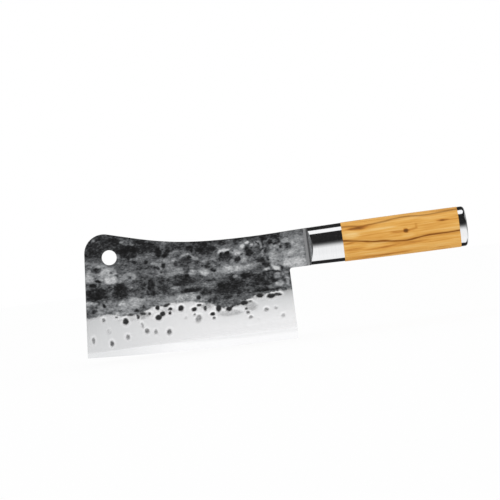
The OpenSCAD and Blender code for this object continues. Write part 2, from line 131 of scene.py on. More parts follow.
# Places on the left side, in millimetres from the hang hole: along the blade, up the blade, half
# length, half height, tone from black to white and, where it isn't level, slant in degrees. Later
# ones cover earlier ones, and all soften from the inner to the outer share of their size.
PATCH_SOFTNESS = (0.55, 1.25)
SCALE_TONE = 0.36
SCALE_PATCHES = (
    # broad zones
    (-10, 12, 20, 12, 0.19), (20, 6, 20, 8, 0.18, -10), (72, 2, 40, 5, 0.24, -3),
    (-9, -13, 17, 9, 0.52), (45, -13, 14, 9, 0.44), (98, -12, 14, 12, 0.47),
    (76, -20.5, 42, 2.6, 0.55), (92, -22, 22, 2.8, 0.62), (-2, -40, 26, 5, 0.52),
    (30, -40, 14, 5, 0.54), (56, -40.5, 24, 5, 0.58), (122, -34, 18, 8, 0.22), (131, -15, 6, 11, 0.5),
    (148, -15, 12, 14, 0.58), (148, 0, 14, 4.5, 0.46), (118, 1.2, 16, 2.4, 0.2),
    # front corner and round the hang hole
    (-11.5, 8, 6, 7, 0.13), (-11.2, 15, 2.2, 1.1, 0.42, 30), (6.5, 11, 4, 4, 0.14),
    (16, 10, 6.5, 3.2, 0.32, -20), (11.3, 10.8, 1.4, 1.2, 0.5), (19, 8, 2, 1, 0.48, -20),
    (17, 2.2, 11, 5.2, 0.07, -8), (33.2, 5, 3, 3.4, 0.14), (27, 0.5, 5, 3.6, 0.24),
    (39.2, -0.8, 2.8, 4, 0.09), (46.6, -0.6, 2.6, 3.4, 0.11), (44.4, -3.8, 3, 1.7, 0.12),
    (-17.5, -2.8, 3, 1.4, 0.44, -10), (-7.8, -6.2, 3.4, 1.3, 0.7, -12),
    (-12, -9, 4.6, 2.6, 0.24, -15), (-18, -14.8, 4, 3.8, 0.7), (-1, -13, 5.5, 6, 0.67),
    (-1, -18.4, 5, 3, 0.8), (0, -12.4, 1.1, 1, 0.34), (3.8, -15, 1.2, 1.3, 0.28),
    (12, -18, 7.5, 4, 0.62), (18.5, -18.4, 1.3, 2.1, 0.66), (13.8, -15.4, 1.3, 1, 0.6),
    (13.8, -18.4, 1.3, 1.2, 0.27), (10.5, -9, 6.5, 3.2, 0.3), (24, -3.8, 9, 1.5, 0.46, -3),
    (15.4, -3.6, 0.9, 0.9, 0.14), (24.5, -8.5, 4, 2.4, 0.37), (19.4, -6.6, 1.8, 1.6, 0.15),
    (28.8, -7.7, 2.1, 1.6, 0.14), (23.5, -13, 4, 3, 0.29), (-11.4, -17.8, 3.2, 1.4, 0.07, -22),
    (-16, -20.9, 3.2, 1.9, 0.1, -10), (-10.5, -21, 2, 1.1, 0.33), (-13.3, -28, 10, 5.6, 0.11),
    (5.3, -27.5, 6.6, 6, 0.13), (-3, -25.2, 1.8, 2.6, 0.16), (15.5, -26, 5, 3, 0.34),
    (13.8, -25.6, 1.8, 1.5, 0.56), (14.4, -32.2, 3.2, 2.8, 0.46), (21, -28.4, 4.4, 1.6, 0.2),
    (24.5, -22, 3.4, 6.4, 0.25), (30.8, -27.5, 3, 7.5, 0.09), (27.6, -31.6, 2.4, 2, 0.15),
    # rows above the ground face, front half
    (-19.5, -35.2, 5, 2, 0.72), (-18.5, -39.4, 4, 3.8, 0.36), (-17.4, -41.2, 2.1, 1.6, 0.12),
    (-8.8, -38, 1.3, 1.6, 0.1), (-10, -33.4, 7, 1.2, 0.27), (13.5, -38, 11, 4, 0.68),
    (5.3, -38, 3.4, 0.8, 0.78), (7, -45, 11, 2.2, 0.62), (3.5, -43.6, 1.8, 1.1, 0.36),
    (16.5, -44.5, 2.3, 1.4, 0.18), (21.8, -35, 1.8, 1.4, 0.25), (24, -46, 5, 1.6, 0.4),
    # middle of the blade
    (37.5, -10.2, 5.4, 1.3, 0.62, -12), (36.5, -13.3, 3.2, 1.4, 0.16, -8),
    (42.4, -11.8, 2.1, 2.1, 0.1), (39.4, -16.8, 1.2, 1.2, 0.2), (46.2, -11, 2.6, 4, 0.48),
    (42, -19.3, 9, 1.4, 0.55), (41, -27, 11, 7, 0.21), (34.8, -27, 1.4, 5.6, 0.3),
    (36, -35.4, 4, 1.8, 0.5), (47, -26, 1.6, 5, 0.33), (60, 1, 9, 2.8, 0.22),
    (56.5, 0.8, 2.2, 1.2, 0.12), (64, -0.2, 2.4, 1.1, 0.1), (65.6, -2.8, 1.2, 1.2, 0.07),
    (77, -3, 9.4, 5.2, 0.12, -4), (95.5, 0, 4.5, 1.9, 0.3), (51.4, -8.2, 2.6, 2, 0.6),
    (60.4, -5.5, 4.4, 1, 0.66), (67.4, -9, 3.8, 1.5, 0.68, -38), (55.8, -7.6, 2.2, 1.2, 0.56, 30),
    (60, -12.2, 6, 4.2, 0.16), (63.8, -8.5, 2.2, 1.1, 0.09), (68.2, -12.6, 1.6, 1.5, 0.18),
    (52, -12, 1.8, 2, 0.14), (69.5, -15.8, 6.5, 2.2, 0.42), (59.8, -18.2, 3, 2.3, 0.2),
    (72.4, -15.8, 1.4, 1.3, 0.11), (76.6, -16.8, 2.1, 1.6, 0.18), (78.4, -15.3, 1.1, 1, 0.16),
    (76.6, -12.4, 2.8, 1.6, 0.56), (83.5, -11.6, 3.4, 1.8, 0.5), (82, -13.8, 1.1, 1, 0.2),
    (80.8, -20.3, 3.2, 1.5, 0.15, -10), (82.6, -17.2, 1.8, 0.9, 0.64), (74.2, -21.4, 3.6, 2.6, 0.7),
    (55, -24.8, 8.6, 5, 0.19), (53.6, -27.4, 3.2, 2.6, 0.12), (60, -22, 1.8, 1.1, 0.1),
    (65.6, -25, 3.6, 2.2, 0.42), (50, -30.8, 4.2, 1.3, 0.5), (60, -31.3, 7, 1, 0.42),
    (61.5, -34.4, 7.6, 1.8, 0.13), (57.6, -33.8, 2.2, 1.3, 0.06), (60.6, -37, 3, 1.6, 0.54),
    (68.5, -27, 4, 3, 0.36), (76, -31.6, 5.6, 2.6, 0.46), (79.5, -28.5, 3.8, 1.3, 0.18),
    (75, -37, 5.8, 3.6, 0.26), (66.5, -40.8, 1.9, 1.7, 0.19), (75.3, -44.4, 1.7, 1.5, 0.24),
    (84, -25, 6, 2.6, 0.44), (92, -36.5, 12, 8.4, 0.17), (95.4, -28, 3.4, 3, 0.12),
    (97.8, -27.8, 1.7, 1.3, 0.5), (106, -28, 4.4, 2.4, 0.16), (105.6, -36, 3.4, 6, 0.25),
    (93, -47.4, 9.4, 3.4, 0.44),
    # rear half, up to the neck
    (88, -7.2, 2, 1.8, 0.74, 30), (92.6, -5.9, 3.2, 1.2, 0.72), (97.2, -8.8, 2, 1.5, 0.62, -45),
    (92.4, -12, 6, 4.4, 0.23), (94, -8.2, 1.7, 1.5, 0.1), (88.8, -8.6, 1.3, 1.3, 0.14),
    (98.6, -7.8, 0.9, 0.9, 0.1), (101.5, -9, 3.4, 3.2, 0.62), (101.4, -14.6, 2.8, 3, 0.12),
    (106.4, -15.2, 2, 3.6, 0.56), (93, -20.8, 4.6, 1.2, 0.8), (107, -4.8, 2, 1.9, 0.78, 20),
    (110.6, -2.4, 1.9, 1.1, 0.86), (113.8, -4.8, 1.8, 1.2, 0.78), (109.6, -6.8, 1.6, 1.2, 0.5),
    (105.7, 0, 1.3, 1, 0.12), (111.2, -0.4, 1.5, 0.8, 0.14), (111.8, -9, 4.2, 4.6, 0.19),
    (110.2, -7.5, 1.6, 2.1, 0.08), (105, -11.2, 1.1, 0.9, 0.24), (118, -4, 3, 2.8, 0.56),
    (117.6, -3, 1, 1.1, 0.1), (119.2, -5, 1.2, 1.2, 0.14), (123, -4, 1, 2.1, 0.15),
    (118.8, -2.4, 1.1, 0.8, 0.66), (121, -7.2, 0.9, 1.5, 0.66), (120, -11, 4, 3.6, 0.33),
    (122.6, -12.2, 2, 2.6, 0.48), (122.4, -11.4, 0.8, 2.2, 0.68), (124.6, -10.6, 0.7, 1.8, 0.12),
    (112.6, -16.6, 4, 2.4, 0.37), (119.2, -17.4, 3.4, 2.6, 0.16), (124.2, -21.4, 4.2, 2.3, 0.1, -20),
    (126, -17, 1.3, 2.2, 0.14), (124, -25.2, 2.8, 1.1, 0.72), (130.4, -24.8, 5, 1.6, 0.82, -36),
    (131.6, -28.4, 3.2, 0.8, 0.05, -25), (126.5, -27.4, 3.2, 0.7, 0.14),
    (111, -28.6, 3.4, 1.2, 0.08, 10), (116.4, -26.6, 3.8, 1.8, 0.42), (121, -35.6, 9.5, 4.8, 0.24),
    (123, -42, 16, 1, 0.15, -1), (131.5, -31.5, 3.4, 2.6, 0.56), (133, -37.8, 3.6, 2.6, 0.6),
    (138, -31, 3, 2.6, 0.5), (137.8, -36, 2.2, 3, 0.3), (141.2, -34, 0.8, 7, 0.26),
    (139.5, -36.5, 1.8, 5, 0.62), (126.5, -39.4, 4, 1.8, 0.44),
    # neck
    (131, -0.4, 9, 2, 0.2), (136.5, 1.5, 1.8, 1, 0.08), (126.5, -6, 2.8, 4, 0.34),
    (129.2, -4, 2.2, 1.7, 0.15), (132.6, -6.2, 1.5, 1.4, 0.07), (135.7, -4, 1.3, 2.1, 0.2),
    (136.3, -6.5, 0.9, 0.8, 0.7), (136.2, -8.8, 1.1, 1.1, 0.14), (133.6, -11.4, 1.8, 1.1, 0.3),
    (130.2, -17, 1.9, 6.4, 0.54), (136, -25, 1.5, 1.5, 0.13), (142.6, -9.4, 3, 3.6, 0.3),
    (142.2, -8, 1.3, 2.5, 0.22), (124, -0.4, 3.8, 2.4, 0.1), (141, -4.2, 3.4, 2.2, 0.66),
    (149.2, -7, 0.9, 1.6, 0.38), (148, -22.8, 13, 4.4, 0.75),
)
# The same way, with a share of PIT_DEPTH instead of the tone. A painted highlight, a pale rim in
# millimetres too, lies round each pit that is deeper than a share of 0.375.
PIT_RIM = 1.5
PITS = (
    (-20.9, -64.1, 1.5, 3.4, 0.6), (-6.6, -68.4, 2, 2.8, 0.72), (6.6, -64.7, 2, 2.6, 0.63),
    (6.6, -52.2, 2.8, 3.2, 0.95), (-7.8, -58.1, 1.8, 2.4, 0.29), (-10.9, -48.8, 1.6, 2, 0.62),
    (-0.6, -47.8, 1.7, 1.1, 0.66), (11.3, -47.5, 2.6, 1.5, 0.73, -10), (16.9, -50, 1.5, 2.1, 0.9),
    (20.6, -51, 2.3, 1.1, 0.5), (21.3, -48.1, 2.7, 1.6, 0.9), (26.3, -48.4, 1.5, 1.5, 0.88),
    (22.2, -42.5, 1.3, 2, 0.8), (19.4, -56.9, 1.2, 2.6, 0.58, 15), (22.5, -61.9, 2.2, 2.6, 0.66),
    (29.4, -63.4, 1.9, 2.3, 0.57), (40, -65, 2.4, 2.9, 0.71, -15), (33.1, -44.7, 1.9, 2.3, 1),
    (40.7, -43.6, 3.6, 1.5, 0.9, 20), (43.1, -46.9, 2.1, 1.5, 1), (33.1, -52.5, 3, 2.6, 1),
    (36.6, -50, 2.7, 2.4, 0.95), (42.5, -50.3, 1.5, 1.5, 0.95), (51.6, -47.5, 2.6, 2.9, 1, -20),
    (54.7, -55, 1.3, 1.6, 0.32), (32.2, -72.2, 1.1, 2, 0.25), (62.2, -49.7, 2.8, 2, 1),
    (70.9, -50, 1.7, 2.6, 0.9), (66.6, -46.9, 2.4, 1.3, 0.92), (76.3, -55.3, 2.4, 1.6, 1),
    (76.9, -58.4, 1.3, 1.4, 0.72), (81.6, -51.6, 2.3, 3.3, 1), (89.7, -53.1, 2.9, 2.1, 1),
    (64.6, -57.3, 2.8, 3.8, 0.6, -30), (61.9, -53.8, 1.3, 1.1, 0.68), (75, -44.7, 1.6, 1.3, 0.8),
    (66.3, -40.9, 1.9, 1.6, 0.55), (102.5, -49.9, 3.5, 2.1, 1), (106.8, -49.2, 2.6, 1, 0.75),
    (103.4, -54.7, 1.5, 1.2, 0.86), (104.4, -57.5, 1.7, 1.4, 0.74),
    (106.3, -61.6, 1.9, 1.4, 0.64, 15), (115.6, -45.6, 3.6, 2, 1), (124.5, -47, 4, 2.2, 1),
    (130, -46.4, 3.6, 1.5, 0.9, -8), (119.4, -56.9, 2.1, 1.7, 0.6), (127.2, -56.6, 1.5, 1.3, 0.4),
    (132.2, -63.4, 1.9, 1.8, 0.5), (112.2, -63.8, 1, 1.3, 0.27), (72, -48.2, 5, 2.6, 0.5),
    (90, -55.6, 11, 2.6, 0.38, -2), (107, -52.5, 6, 4, 0.42), (11, -50.4, 12, 1.6, 0.28),
    (22, -48.6, 7, 2.4, 0.52), (40, -47.6, 8, 2.6, 0.36),
)
# Where the ground face ends and the scale begins: along the blade, up the blade
GROUND_LINE = (
    (-28, -46.5), (-16, -46), (-10, -44.6), (-4, -44.6), (2, -47.4), (15, -48.4), (22, -47.2),
    (28, -44), (35, -43.6), (42, -42.5), (60, -42.3), (68, -45.4), (76, -46.8), (82, -51), (92, -52.4),
    (99, -50.2), (106, -47.2), (112, -44.6), (142, -43.3),
)
# How soft that line is, and the noise that makes outlines uneven, in millimetres again: its sizes,
# and the strengths of slow and fine noise on them. Pits follow the fine noise alone, along and up.
LINE_SOFTNESS = (-1.5, 2.2)
SLOW_SIZE, FINE_SIZE = 5, 1.7
UNEVEN_ALONG = (1.2, 0.55)
UNEVEN_UP = (1, 0.5)
UNEVEN_LINE = (1.2, 0.9)
UNEVEN_PITS = (0.5, 0.4)
# What is stored at each point of the blade, for its material
MARKS = ("scale_tone", "ground_share", "pit_share", "rim_share", "bevel_heights")

blade_low, blade_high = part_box("blade")
bolster_low, bolster_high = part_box("bolster")
AXIS_Z = (bolster_low.z + bolster_high.z) / 2
HALF_BLADE = blade_high.y
heel_x = blade_low.x + EDGE_LENGTH
neck_end_x = heel_x + NECK_LENGTH
neck_top = AXIS_Z + NECK_HEIGHT / 2
neck_bottom = AXIS_Z - NECK_HEIGHT / 2
edge_radius = (EDGE_LENGTH**2 + EDGE_RISE**2) / (2 * EDGE_RISE)
nose_z = blade_high.z - NOSE_RADIUS


def edge_z(x):
    """Height of the cutting edge, a shallow arc that is lowest at the heel."""
    return blade_low.z + edge_radius - np.sqrt(edge_radius**2 - (x - heel_x) ** 2)


def smooth(value, start, end):
    """Rises softly from 0 at start to 1 at end."""
    share = np.clip((value - start) / (end - start), 0, 1)
    return share * share * (3 - 2 * share)


def patch_share(along, up, patch):
    """How much of a patch each point has, from 0 outside to 1 inside."""
    middle_x, middle_z, half_length, half_height, _, slant = (*patch, 0)[:6]
    turn = math.radians(slant)
    away_x, away_z = along - middle_x, up - middle_z
    part_x = (away_x * math.cos(turn) + away_z * math.sin(turn)) / half_length
    part_z = (away_z * math.cos(turn) - away_x * math.sin(turn)) / half_height
    return 1 - smooth(np.sqrt(part_x**2 + part_z**2), *PATCH_SOFTNESS)


# One seed for the noise, so that every run gives the same blade
noise.seed_set(1)


def unevenness(along, up, size, layers):
    """Three noise values at each point, each side of the blade with its own layer of the noise."""
    return np.array([noise.noise_vector(place) for place in zip(along / size, up / size, layers)])


def blade_marks(points):
    """Scale tone and shares of ground, pit and painted highlight rim at each point. The right side is
    turned round.
    """
    left = points[:, 1] < 0
    along, up = points[:, 0] / MM, points[:, 2] / MM
    slow = unevenness(along, up, SLOW_SIZE, np.where(left, 0, 7))
    fine = unevenness(along, up, FINE_SIZE, np.where(left, 3, 9))
    turned = np.where(left, along, (heel_x + blade_low.x) / MM - along)
    along_seen = turned + UNEVEN_ALONG[0] * slow[:, 0] + UNEVEN_ALONG[1] * fine[:, 0]
    up_seen = up + UNEVEN_UP[0] * slow[:, 1] + UNEVEN_UP[1] * fine[:, 1]
    tone = np.full(len(points), SCALE_TONE)
    for patch in SCALE_PATCHES:
        tone += (patch[4] - tone) * patch_share(along_seen, up_seen, patch)
    pit = np.zeros(len(points))
    rim = np.zeros(len(points))
    place = (turned + UNEVEN_PITS[0] * fine[:, 0], up + UNEVEN_PITS[1] * fine[:, 1])
    for patch in PITS:
        share = patch[4]
        wider = (*patch[:2], patch[2] + PIT_RIM, patch[3] + PIT_RIM, *patch[4:])
        pit = np.maximum(pit, share * patch_share(*place, patch))
        rim = np.maximum(rim, max(0, 1.6 * share - 0.6) * patch_share(*place, wider))
    line = np.interp(turned, *np.transpose(GROUND_LINE))
    below = line - up + UNEVEN_LINE[0] * slow[:, 2] + UNEVEN_LINE[1] * fine[:, 2]
    return tone, smooth(below, *LINE_SOFTNESS), pit, rim * (1 - pit)


def above_edge(points):
    """Height of each point above the cutting edge, and the height of the bevel there."""
    height = points[:, 2] - edge_z(np.minimum(points[:, 0], neck_end_x))
    rise = smooth(points[:, 0], blade_low.x - BEVEL_RISE_LENGTH / 4, blade_low.x + BEVEL_RISE_LENGTH)
    return height, BEVEL_HEIGHT + (BEVEL_HEIGHT_HEEL - BEVEL_HEIGHT) * rise


def tangent(angle, length):
    """A step of a length in a direction, for the handles of the outline."""
    return Vector((math.cos(angle), math.sin(angle))) * length


nose_x = (NOSE_RADIUS + nose_z * math.sin(FRONT_LEAN)) / math.cos(FRONT_LEAN)
nose = Vector((nose_x + blade_low.x + edge_z(blade_low.x) * -math.tan(FRONT_LEAN), nose_z))
nose_sweep = math.radians(90) + SPINE_FALL - FRONT_LEAN
nose_handle = 4 / 3 * math.tan(nose_sweep / 4) * NOSE_RADIUS
nose_start = nose + tangent(math.pi - FRONT_LEAN, NOSE_RADIUS)
nose_end = nose + tangent(math.pi / 2 - SPINE_FALL, NOSE_RADIUS)
spine_low = Vector(SPINE_LOW)
spine_run = spine_low.x - nose_end.x
spine_out = nose_end + Vector((1, -math.tan(SPINE_FALL))) * spine_run * SPINE_HANDLE_SHARES[0]
spine_in = Vector((nose_end.x + spine_run * SPINE_HANDLE_SHARES[1], spine_low.y))
neck_run = neck_end_x - spine_low.x
neck_out = Vector((spine_low.x + neck_run * NECK_HANDLE_SHARES[0], spine_low.y))
neck_in = Vector((spine_low.x + neck_run * NECK_HANDLE_SHARES[1], neck_top))
heel_handle = 4 / 3 * math.tan(math.pi / 8) * HEEL_RADIUS
heel_top_x = heel_x + HEEL_RADIUS
heel_top_z = neck_bottom - HEEL_RADIUS
edge_sweep = math.asin(EDGE_LENGTH / edge_radius)
edge_handle = 4 / 3 * math.tan(edge_sweep / 4) * edge_radius
front_corner = Vector((blade_low.x, edge_z(blade_low.x)))
heel_corner = Vector((heel_x, blade_low.z))
tang_root, tang_tip = TANG_HEIGHT / 2, TANG_TIP_HEIGHT / 2
# Outline: a closed curve round blade, neck and tang, each point with its handles before and after,
# or none where a straight line meets it
outline = (
    (front_corner, front_corner + tangent(-edge_sweep, edge_handle), None),
    (nose_start, None, nose_start + tangent(math.pi / 2 - FRONT_LEAN, nose_handle)),
    (nose_end, nose_end + tangent(math.pi - SPINE_FALL, nose_handle), spine_out),
    (spine_low, spine_in, neck_out),
    ((neck_end_x, neck_top), neck_in, None),
    ((neck_end_x, AXIS_Z + tang_root), None, None),
    ((blade_high.x, AXIS_Z + tang_tip), None, None),
    ((blade_high.x, AXIS_Z - tang_tip), None, None),
    ((neck_end_x, AXIS_Z - tang_root), None, None),
    ((neck_end_x, neck_bottom), None, None),
    ((heel_top_x, neck_bottom), None, (heel_top_x - heel_handle, neck_bottom)),
    ((heel_x, heel_top_z), (heel_x, heel_top_z + heel_handle), None),
    (heel_corner, None, heel_corner - Vector((edge_handle, 0))),
)
bpy.ops.curve.primitive_bezier_circle_add(radius=1, location=(0, 0, 0))
cutter = bpy.context.object
cutter.data.dimensions = "3D"
cutter.data.resolution_u = 40
spline = cutter.data.splines[0]
spline.bezier_points.add(len(outline) - len(spline.bezier_points))
for point, (place, before, after) in zip(spline.bezier_points, outline):
    point.handle_left_type = "FREE" if before else "VECTOR"
    point.handle_right_type = "FREE" if after else "VECTOR"
    point.co = (place[0], 0, place[1])
    if before:
        point.handle_left = (before[0], 0, before[1])
    if after:
        point.handle_right = (after[0], 0, after[1])
bpy.ops.object.convert(target="MESH")


def open_mesh():
    """Starts to edit the active object, with all of it selected."""
    bpy.ops.object.mode_set(mode="EDIT")
    bpy.ops.mesh.select_all(action="SELECT")


def draw_out(x, y, z):
    """Extrudes what is selected by a step."""
    bpy.ops.mesh.extrude_region_move(TRANSFORM_OT_translate={"value": (x, y, z)})


def close_mesh():
    """Turns all faces outwards and ends the edit."""
    bpy.ops.mesh.select_all(action="SELECT")
    bpy.ops.mesh.normals_make_consistent(inside=False)
    bpy.ops.object.mode_set(mode="OBJECT")


cutter = bpy.context.object
open_mesh()
bpy.ops.mesh.remove_doubles(threshold=0.01 * MM)
bpy.ops.object.mode_set(mode="OBJECT")
rim_points = [v.co.copy() for v in cutter.data.vertices]
bpy.ops.object.mode_set(mode="EDIT")
bpy.ops.mesh.edge_face_add()
bpy.ops.transform.translate(value=(0, -2 * HALF_BLADE, 0))
draw_out(0, 4 * HALF_BLADE, 0)
close_mesh()


def cut(piece, tool, operation="DIFFERENCE"):
    """Cuts a tool out of a piece, or keeps what both share, and removes the tool."""
    modifier = piece.modifiers.new("cut", "BOOLEAN")
    modifier.object = tool
    modifier.operation = operation
    modifier.solver = "MANIFOLD"
    bpy.context.view_layer.objects.active = piece
    bpy.ops.object.modifier_apply(modifier=modifier.name)
    bpy.data.objects.remove(tool)


def rod(start, end, radius, sides=96):
    """A plain round tool from one point to another, for bores and holes."""
    run = end - start
    bpy.ops.mesh.primitive_cylinder_add(
        vertices=sides, radius=radius, depth=run.length, location=(start + end) / 2,
        rotation=run.to_track_quat("Z", "Y").to_euler(),
    )
    bpy.ops.object.transform_apply()
    return bpy.context.object


rivet_low, rivet_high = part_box("stud_rivet")
rivet_x = (rivet_low.x + rivet_high.x) / 2
past = Vector((0, 4 * HALF_BLADE, 0))
for x, z, radius in ((0, 0, HOLE_RADIUS), (rivet_x, AXIS_Z, RIVET_HOLE_RADIUS)):
    place = Vector((x, 0, z))
    cut(cutter, rod(place - past, place + past, radius))

# Slab: a fine grid whose rows follow the edge, drawn out to a flat solid. It gets its thickness
# point by point and is then cut to the outline.
GRID_BELOW = 0.4 * MM
GRID_AHEAD = 1.7 * MM
columns = math.ceil((blade_high.x - blade_low.x + 2 * GRID_AHEAD) / BLADE_GRID)
rows = math.ceil((blade_high.z - blade_low.z + 2 * GRID_BELOW) / BLADE_GRID)
bpy.ops.mesh.primitive_grid_add(x_subdivisions=columns, y_subdivisions=rows, size=1, location=(0, 0, 0))
blade = bpy.context.object
blade.name = "forged_blade"
unit = np.array([v.co for v in blade.data.vertices])
grid_x = blade_low.x - GRID_AHEAD + (unit[:, 0] + 0.5) * columns * BLADE_GRID
grid_height = (unit[:, 1] + 0.5) * rows * BLADE_GRID - GRID_BELOW
grid_z = edge_z(np.minimum(grid_x, neck_end_x)) + grid_height
blade.data.vertices.foreach_set("co", np.column_stack((grid_x, 0 * grid_x, grid_z)).ravel())
scene.tool_settings.mesh_select_mode = (False, False, True)
beyond_neck = neck_end_x + 2 * BLADE_GRID
for face in blade.data.polygons:
    x, _, z = face.center
    low = min(abs(blade.data.vertices[i].co.z - AXIS_Z) for i in face.vertices)
    beside_tang = x > beyond_neck and low > tang_root + BLADE_GRID
    behind_heel = x > heel_x + 4 * BLADE_GRID and z < neck_bottom - 4 * BLADE_GRID
    face.select = beside_tang or behind_heel
bpy.ops.object.mode_set(mode="EDIT")
bpy.ops.mesh.delete(type="FACE")
bpy.ops.mesh.select_all(action="SELECT")
draw_out(0, HALF_BLADE, 0)
close_mesh()

# Points along the rim and round the hang hole, each with the direction that leads out of the steel
RIM_PARTS = 8
HOLE_PARTS = 72
rim = kdtree.KDTree(len(rim_points) * RIM_PARTS + HOLE_PARTS)
rim_out = []
for i, point in enumerate(rim_points):
    step = rim_points[(i + 1) % len(rim_points)] - point
    outward = Vector((-step.z, 0, step.x)).normalized()
    for part in range(RIM_PARTS):
        rim.insert(point + step * part / RIM_PARTS, len(rim_out))
        rim_out.append(outward)
for i in range(HOLE_PARTS):
    a = i * math.pi / (HOLE_PARTS / 2)
    outward = Vector((math.cos(a), 0, math.sin(a)))
    rim.insert(outward * HOLE_RADIUS, len(rim_out))
    rim_out.append(-outward)
rim.balance()


def rim_distance(point):
    """Distance of a point from the rim, less than zero outside the steel."""
    flat = Vector((point[0], 0, point[2]))
    near, index, _ = rim.find(flat)
    return (near - flat).dot(rim_out[index])


# Half thickness: even at the spine, thinned in a full curve down to the bevel and cut back at the
# neck, then eased at the rim, dented by the hammer and pitted
slab = np.array([v.co for v in blade.data.vertices])
side = np.where(slab[:, 1] > HALF_BLADE / 2, 1, -1)
slab[:, 1] = side * HALF_BLADE
height, bevel_height = above_edge(slab)
tone, ground, pit, _ = blade_marks(slab)
thinned = np.clip((GROUND_HEIGHT - height) / (GROUND_HEIGHT - bevel_height), 0, 1) ** GROUND_FULLNESS
half = HALF_BLADE - (HALF_BLADE - BEVEL_TOP / 2) * thinned
bevel = (BEVEL_TOP - EDGE_FLAT) / 2 / bevel_height
bevelled = EDGE_FLAT / 2 + bevel * height
blend = CREASE_LEAST + CREASE_BLEND * smooth(slab[:, 0], 0, heel_x - BEVEL_RISE_LENGTH / 2)
crease = np.clip(blend - np.abs(half - bevelled), 0, None)
half = np.minimum(half, bevelled) - crease**2 / (4 * blend)
neck_start = heel_x - NECK_GROUND_LENGTH
neck_share = smooth(slab[:, 0], neck_start - BLADE_GRID, neck_start + BLADE_GRID)
neck_share *= smooth(slab[:, 2], heel_top_z - BLADE_GRID, heel_top_z + BLADE_GRID)
half -= NECK_CUT * neck_share
distance = np.array([rim_distance(p) for p in slab])
rim_share = 1 - smooth(distance, -RIM_WIDTH / 4, RIM_WIDTH)
half -= RIM_DROP * (rim_share * smooth(half, RIM_LEAST_HALF, HALF_BLADE))
dents = np.array([
    noise.fractal(p / HAMMER_SIZE + Vector((0, 0.5, 0)) * p.y, 1, 2, 3) for p in map(Vector, slab)
])
# The hammer's dents come half from noise and half from where the scale is dark
sunk = 0.5 * np.clip(0.5 + 0.5 * dents, 0, 1) + 0.5 * (1 - smooth(tone, *HAMMER_TONES))
half -= HAMMER_DEPTH * sunk * (1 - ground) * (1 - neck_share)
half -= PIT_DEPTH * pit * smooth(half, PIT_LEAST_HALF, HALF_BLADE)
slab[:, 1] = side * half
blade.data.vertices.foreach_set("co", slab.ravel())
cut(blade, cutter, "INTERSECT")

points = np.array([v.co for v in blade.data.vertices])
height, bevel_height = above_edge(points)
for name, values in zip(MARKS, (*blade_marks(points), height / bevel_height)):
    attribute = blade.data.attributes.new(name, "FLOAT", "POINT")
    attribute.data.foreach_set("value", values.astype(np.float32))
bpy.ops.object.shade_smooth_by_angle(angle=math.radians(38))


def colour(code):
    """Linear RGBA of a colour written as #rrggbb."""
    parts = [int(code[i : i + 2], 16) / 255 for i in (1, 3, 5)]
    return (*[c / 12.92 if c <= 0.04045 else ((c + 0.055) / 1.055) ** 2.4 for c in parts], 1)


def feed(node, inputs):
    """Gives a node's inputs their links or their values."""
    for name, value in inputs.items():
        if isinstance(value, bpy.types.NodeSocket):
            node.id_data.links.new(value, node.inputs[name])
        else:
            node.inputs[name].default_value = value


def add(tree, kind, inputs, operation=None, stops=(), points=(), **settings):
    """Adds a shader node with settings, inputs, ramp stops and curve points, and gives its outputs."""
    made = tree.nodes.new("ShaderNode" + kind)
    if operation:
        made.operation = operation
    for name, value in settings.items():
        setattr(made, name, value)
    feed(made, inputs)
    for i, (position, value) in enumerate(stops):
        element = made.color_ramp.elements[i] if i < 2 else made.color_ramp.elements.new(position)
        element.position = position
        element.color = value
    for i, (along, up) in enumerate(points):
        curve = made.mapping.curves[0]
        point = curve.points[i] if i < 2 else curve.points.new(along, up)
        point.location = (along, up)
    return made.outputs


def new_material(name):
    """An empty material with its tree and its surface shader."""
    made = bpy.data.materials.new(name)
    made.use_nodes = True
    return made, made.node_tree, made.node_tree.nodes["Principled BSDF"]


def coat(piece, material):
    """Gives a piece its one material."""
    piece.data.materials.clear()
    piece.data.materials.append(material)


# Hand-forged carbon steel: black and grey scale with a dull sheen, bright satin where ground, and a
# finer polish on the bevel. Size and strength of the scale's flakes, blotches and clouds:
SCALE_NOISE = ((1 * MM, 0.12), (3.2 * MM, 0.14), (9 * MM, 0.06))
# Width and length of the grinding lines up the blade, coarser than the real ones so that they show
GRINDING_LINE = (0.5 * MM, 25 * MM)
# The ground face is painted greyer at the front, up to here along the blade: a painted reflection
FRONT_GREY_END = 60 * MM
# A painted shade greys it towards the scale between these heights, more so from the first to the second
# place
PAINTED_SHADE_HEIGHTS = (-70 * MM, -46 * MM)
PAINTED_SHADE_PLACES = (60 * MM, 100 * MM)
PAINTED_SHADE_SHARES = (-0.15, -1)
# It is smoother towards the heel, and painted paler towards heel and edge, less metal standing in for a
# brighter reflection
POLISH_AND_PAINTED_BRIGHT_PLACES = (30 * MM, 115 * MM)
PAINTED_BRIGHT_HEIGHTS = (-58 * MM, -74 * MM)
# The bevel's polish fades upwards, in shares of the bevel's height: from the first to the second at
# the front and to the third at the heel. It sets in between these places along the blade.
BEVEL_FADE = (0.92, 1.12, 2.2)
HONED_PLACES = (-15 * MM, 45 * MM)
SCALE_ROUGHNESS = 0.45
GROUND_ROUGHNESS = (0.262, 0.1)
HONED_ROUGHNESS = 0.12
